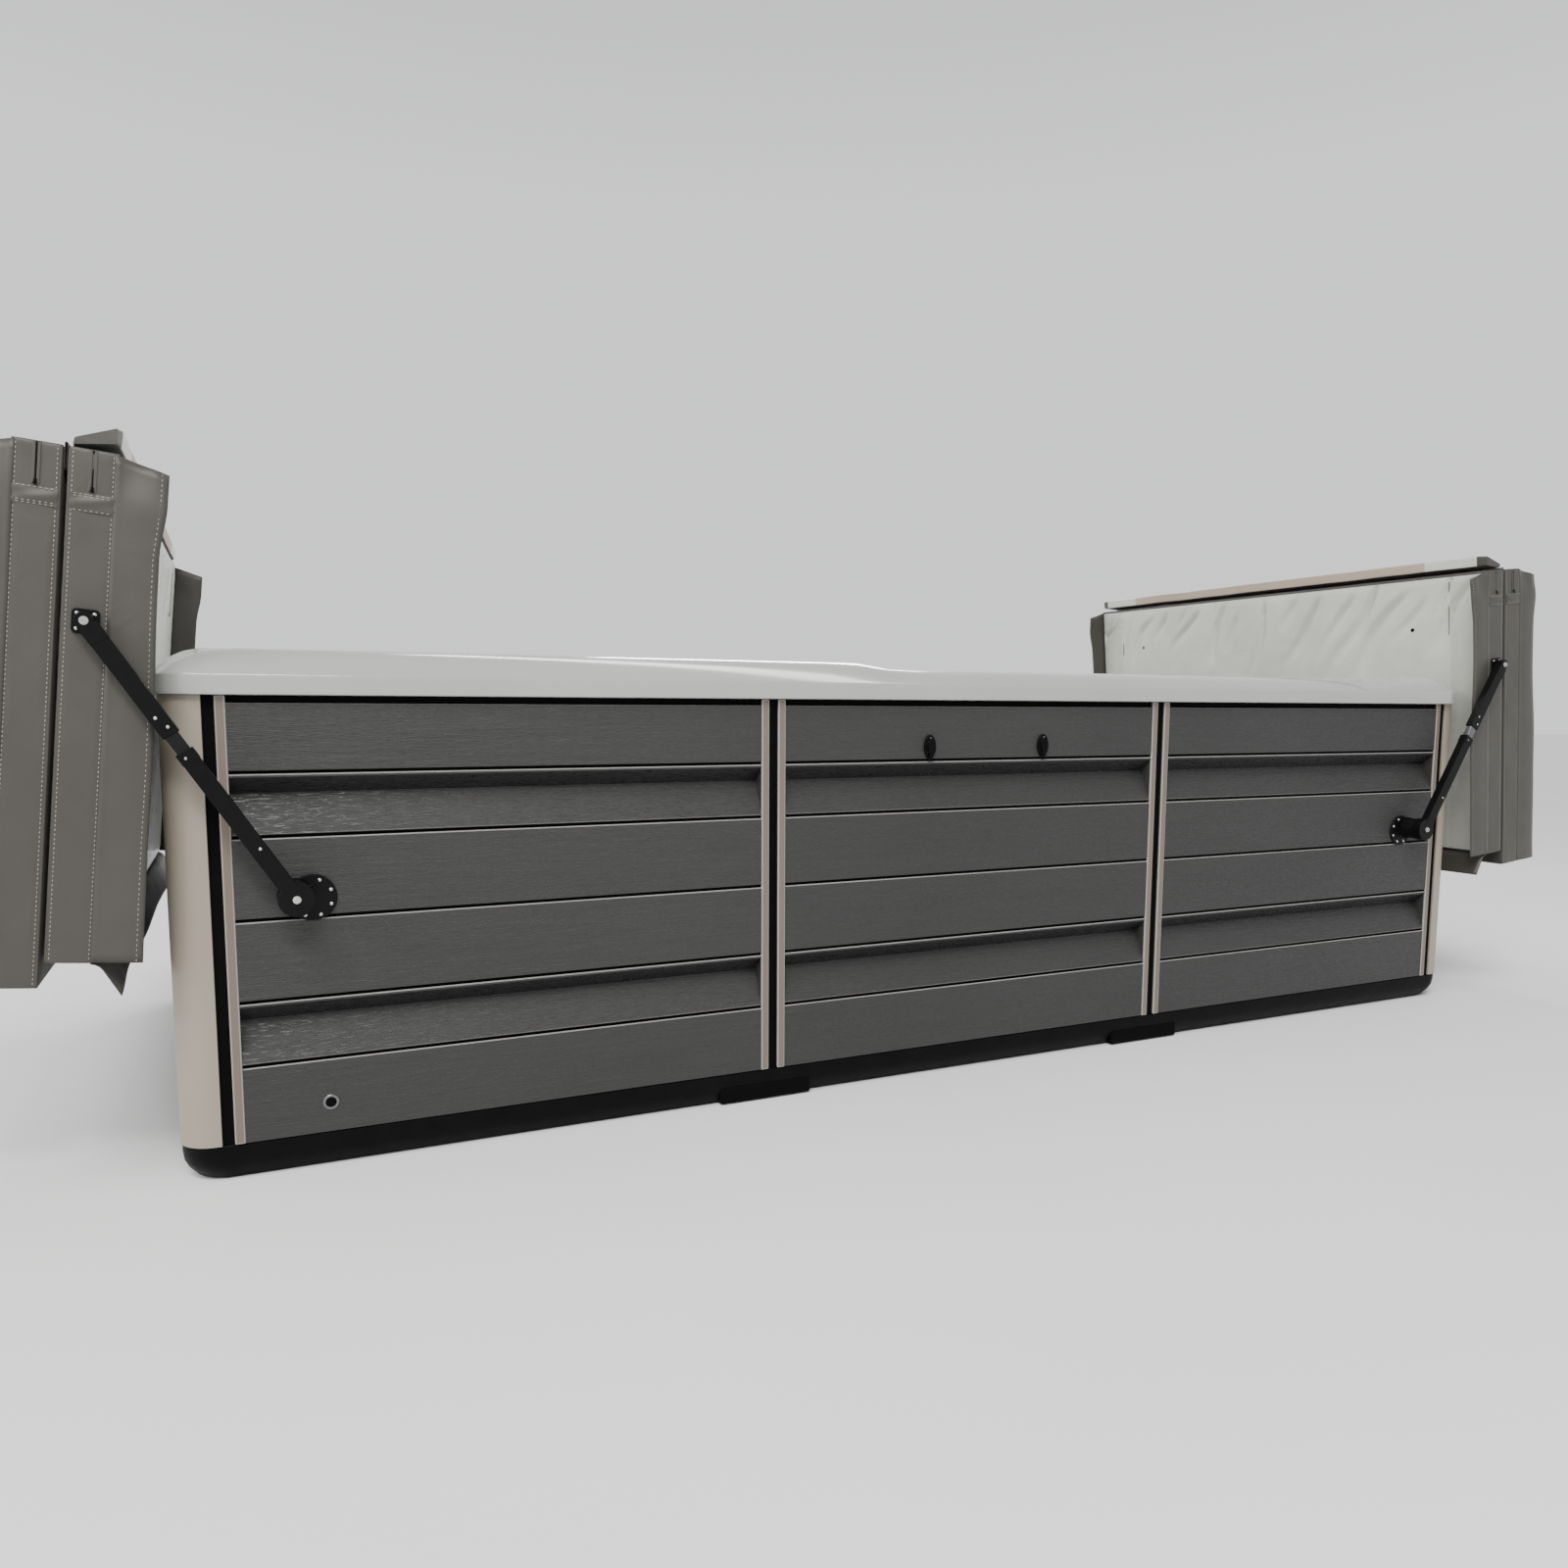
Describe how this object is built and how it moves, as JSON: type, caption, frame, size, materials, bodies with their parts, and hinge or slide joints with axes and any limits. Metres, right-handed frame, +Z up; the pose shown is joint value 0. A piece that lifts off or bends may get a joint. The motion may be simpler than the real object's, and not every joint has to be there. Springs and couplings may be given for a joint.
{
  "type": "swim spa with bi-fold covers",
  "caption": "Boarded swim spa whose two padded vinyl covers stand folded open at its ends on telescopic side-arm lifters.",
  "frame": {"origin": "on the floor under the middle of the spa", "axes": "+X along the spa towards its right end, the boarded front faces -Y, +Z up"},
  "size_m": [5.6454, 2.394, 1.8211],
  "materials": {
    "board": "matte",
    "trim": "satin",
    "black_plastic": "matte",
    "frame": "matte",
    "acrylic": "gloss",
    "vinyl": "matte",
    "foam": "matte",
    "black_steel": "satin",
    "bolt_steel": "satin",
    "aluminium": "satin"
  },
  "bodies": {
    "spa": {"base_pan": "black_plastic", "cabinet_frame": "frame", "spa_shell": "acrylic", "corner_post_front_right": "trim", "corner_post_front_left": "trim", "corner_post_rear_right": "trim", "corner_post_rear_left": "trim", "front_panel_left": "board", "front_panel_middle": "board", "front_panel_right": "board", "rear_panel_left": "board", "rear_panel_middle": "board", "rear_panel_right": "board", "end_panel_left": "board", "end_panel_right": "board", "latch_receptacle_left": "black_plastic", "latch_receptacle_right": "black_plastic", "drain_fitting": "black_plastic", "left_front_bracket": "black_steel", "left_front_lower_bolt": "bolt_steel", "left_rear_bracket": "black_steel", "left_rear_lower_bolt": "bolt_steel", "right_front_bracket": "black_steel", "right_front_lower_bolt": "bolt_steel", "right_rear_bracket": "black_steel", "right_rear_lower_bolt": "bolt_steel"},
    "left_pivots": {"left_front_upper_bolt": "bolt_steel", "left_rear_upper_bolt": "bolt_steel"},
    "left_lifted_half": {"left_lifted_skin": "vinyl", "left_lifted_core": "foam", "left_lifted_stiffener": "aluminium", "left_lifted_skirt": "vinyl", "left_hinge_seal": "vinyl", "left_front_cover_plate": "black_steel", "left_rear_cover_plate": "black_steel"},
    "left_folded_half": {"left_folded_skin": "vinyl", "left_folded_core": "foam", "left_folded_stiffener": "aluminium", "left_folded_skirt": "vinyl"},
    "left_front_lower": {"left_front_lower_arm": "black_steel"},
    "left_front_upper": {"left_front_upper_arm": "black_steel"},
    "left_rear_lower": {"left_rear_lower_arm": "black_steel"},
    "left_rear_upper": {"left_rear_upper_arm": "black_steel"},
    "right_pivots": {"right_front_upper_bolt": "bolt_steel", "right_rear_upper_bolt": "bolt_steel"},
    "right_lifted_half": {"right_lifted_skin": "vinyl", "right_lifted_core": "foam", "right_lifted_stiffener": "aluminium", "right_lifted_skirt": "vinyl", "right_hinge_seal": "vinyl", "right_front_cover_plate": "black_steel", "right_rear_cover_plate": "black_steel"},
    "right_folded_half": {"right_folded_skin": "vinyl", "right_folded_core": "foam", "right_folded_stiffener": "aluminium", "right_folded_skirt": "vinyl"},
    "right_front_lower": {"right_front_lower_arm": "black_steel"},
    "right_front_upper": {"right_front_upper_arm": "black_steel"},
    "right_rear_lower": {"right_rear_lower_arm": "black_steel"},
    "right_rear_upper": {"right_rear_upper_arm": "black_steel"}
  },
  "joints": [
    {"name": "left_lift", "type": "hinge", "parent": "spa", "child": "left_pivots", "pos_m": [-2.05204, 0, 1.19811], "axis": [0, 1, 0], "range_deg": [0, 133]},
    {"name": "left_cover_pivot", "type": "hinge", "parent": "left_pivots", "child": "left_lifted_half", "pos_m": [-2.485, 0, 1.381], "axis": [0, 1, 0], "range_deg": [-48.51, 0]},
    {"name": "left_fold", "type": "hinge", "parent": "left_lifted_half", "child": "left_folded_half", "pos_m": [-2.50156, 0, 1.77239], "axis": [0, 1, 0], "range_deg": [0, 180], "deforming": ["left_hinge_seal"]},
    {"name": "left_front_arm", "type": "hinge", "parent": "spa", "child": "left_front_lower", "pos_m": [-2.072, -1.17, 0.722], "axis": [0, 1, 0], "range_deg": [0, 65.99]},
    {"name": "left_front_extension", "type": "slide", "parent": "left_front_lower", "child": "left_front_upper", "axis": [-0.531, 0, 0.8473], "range_m": [0, 0.02717]},
    {"name": "left_rear_arm", "type": "hinge", "parent": "spa", "child": "left_rear_lower", "pos_m": [-2.072, 1.17, 0.722], "axis": [0, 1, 0], "range_deg": [0, 65.99]},
    {"name": "left_rear_extension", "type": "slide", "parent": "left_rear_lower", "child": "left_rear_upper", "axis": [-0.531, 0, 0.8473], "range_m": [0, 0.02717]},
    {"name": "right_lift", "type": "hinge", "parent": "spa", "child": "right_pivots", "pos_m": [2.05204, 0, 1.19811], "axis": [0, -1, 0], "range_deg": [0, 133]},
    {"name": "right_cover_pivot", "type": "hinge", "parent": "right_pivots", "child": "right_lifted_half", "pos_m": [2.485, 0, 1.381], "axis": [0, -1, 0], "range_deg": [-48.51, 0]},
    {"name": "right_fold", "type": "hinge", "parent": "right_lifted_half", "child": "right_folded_half", "pos_m": [2.50156, 0, 1.77239], "axis": [0, -1, 0], "range_deg": [0, 180], "deforming": ["right_hinge_seal"]},
    {"name": "right_front_arm", "type": "hinge", "parent": "spa", "child": "right_front_lower", "pos_m": [2.072, -1.17, 0.722], "axis": [0, -1, 0], "range_deg": [0, 65.99]},
    {"name": "right_front_extension", "type": "slide", "parent": "right_front_lower", "child": "right_front_upper", "axis": [0.531, 0, 0.8473], "range_m": [0, 0.02717]},
    {"name": "right_rear_arm", "type": "hinge", "parent": "spa", "child": "right_rear_lower", "pos_m": [2.072, 1.17, 0.722], "axis": [0, -1, 0], "range_deg": [0, 65.99]},
    {"name": "right_rear_extension", "type": "slide", "parent": "right_rear_lower", "child": "right_rear_upper", "axis": [0.531, 0, 0.8473], "range_m": [0, 0.02717]}
  ],
  "couplings": [
    {"joint": "left_cover_pivot", "follows": "left_lift", "ratio": -0.36468},
    {"joint": "left_front_arm", "follows": "left_lift", "ratio": 0.4961},
    {"joint": "left_front_extension", "follows": "left_lift", "m_per_rad": 0.011698},
    {"joint": "left_rear_arm", "follows": "left_lift", "ratio": 0.4961},
    {"joint": "left_rear_extension", "follows": "left_lift", "m_per_rad": 0.011698},
    {"joint": "right_cover_pivot", "follows": "right_lift", "ratio": -0.36468},
    {"joint": "right_front_arm", "follows": "right_lift", "ratio": 0.4961},
    {"joint": "right_front_extension", "follows": "right_lift", "m_per_rad": 0.011698},
    {"joint": "right_rear_arm", "follows": "right_lift", "ratio": 0.4961},
    {"joint": "right_rear_extension", "follows": "right_lift", "m_per_rad": 0.011698}
  ]
}
